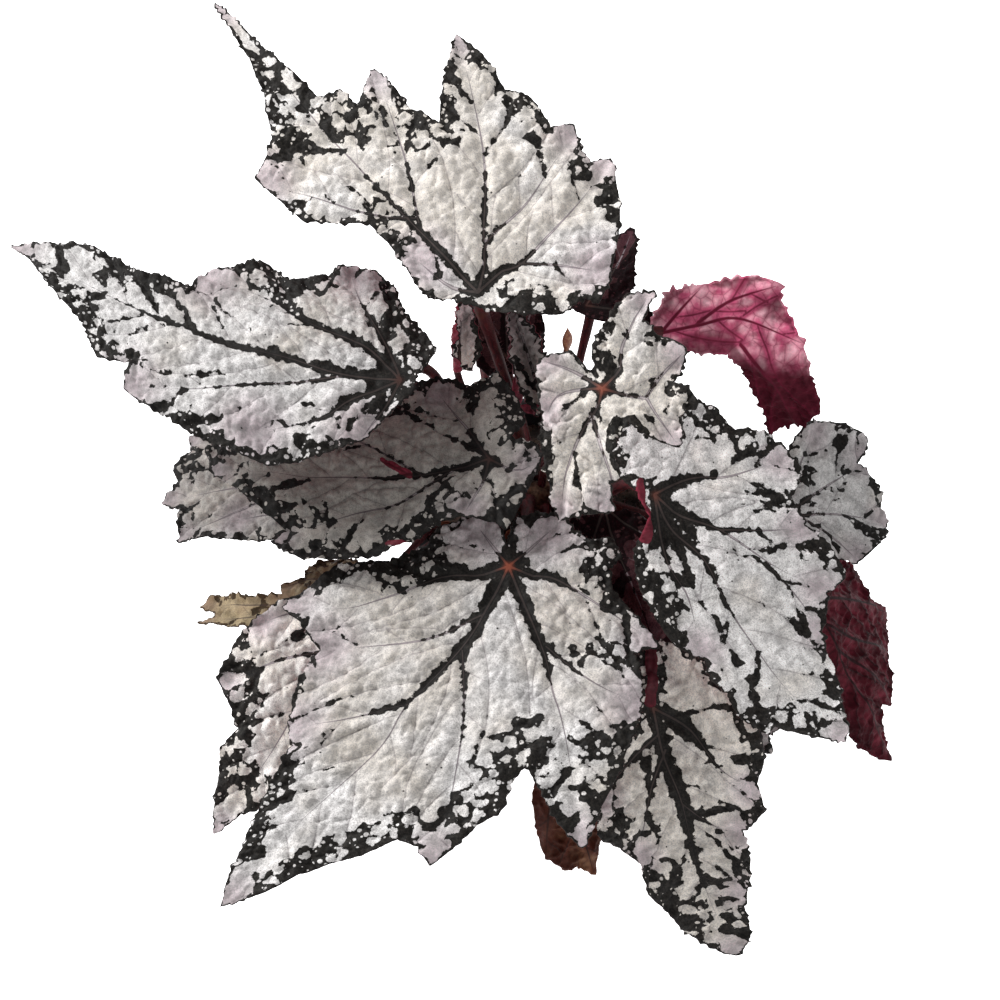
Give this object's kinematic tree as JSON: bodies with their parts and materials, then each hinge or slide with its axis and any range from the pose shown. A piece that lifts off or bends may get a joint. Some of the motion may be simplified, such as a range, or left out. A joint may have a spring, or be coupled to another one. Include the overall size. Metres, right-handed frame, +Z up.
{
  "type": "potted rex begonia",
  "caption": "Rex begonia with long pointed lobed silver leaves, dark along the veins and edges, on red stalks from a creeping rhizome in a plain round pot of soil.",
  "frame": {"origin": "centre of the pot's flat underside, on the surface that it stands on", "axes": "+Z up through the middle of the pot; -Y towards the viewer of the picture; +X to that viewer's right"},
  "size_m": [0.4508, 0.491, 0.2818],
  "materials": {
    "leaf_silver": "satin",
    "leaf_crimson": "satin",
    "leaf_aged": "matte",
    "stalk_red": "satin",
    "bud_skin": "satin",
    "rhizome_skin": "matte",
    "soil_mix": "matte",
    "pot_plastic": "matte"
  },
  "bodies": {
    "root": {"pot": "pot_plastic", "soil": "soil_mix", "rhizome": "rhizome_skin", "blade_upper_back": "leaf_silver", "stalk_upper_back": "stalk_red", "blade_left": "leaf_silver", "stalk_left": "stalk_red", "blade_mid_left": "leaf_silver", "stalk_mid_left": "stalk_red", "blade_low_left": "leaf_silver", "stalk_low_left": "stalk_red", "blade_old_left": "leaf_aged", "stalk_old_left": "stalk_red", "blade_front": "leaf_silver", "stalk_front": "stalk_red", "blade_front_left": "leaf_silver", "stalk_front_left": "stalk_red", "blade_right": "leaf_silver", "stalk_right": "stalk_red", "blade_front_right": "leaf_silver", "stalk_front_right": "stalk_red", "blade_young": "leaf_silver", "stalk_young": "stalk_red", "blade_turned": "leaf_crimson", "stalk_turned": "stalk_red", "blade_far_right": "leaf_silver", "stalk_far_right": "stalk_red", "blade_hanging_right": "leaf_crimson", "stalk_hanging_right": "stalk_red", "blade_dark_back": "leaf_silver", "stalk_dark_back": "stalk_red", "blade_inner": "leaf_silver", "stalk_inner": "stalk_red", "blade_low_right": "leaf_silver", "stalk_low_right": "stalk_red", "blade_hanging_front": "leaf_aged", "stalk_hanging_front": "stalk_red", "blade_low_back": "leaf_silver", "stalk_low_back": "stalk_red", "blade_shaded": "leaf_silver", "stalk_shaded": "stalk_red", "blade_furled_left": "leaf_silver", "stalk_furled_left": "stalk_red", "blade_furled_right": "leaf_silver", "stalk_furled_right": "stalk_red", "bud": "bud_skin", "bud_stalk": "stalk_red", "scale_left": "bud_skin", "scale_front": "bud_skin", "scale_right": "bud_skin"}
  },
  "joints": []
}
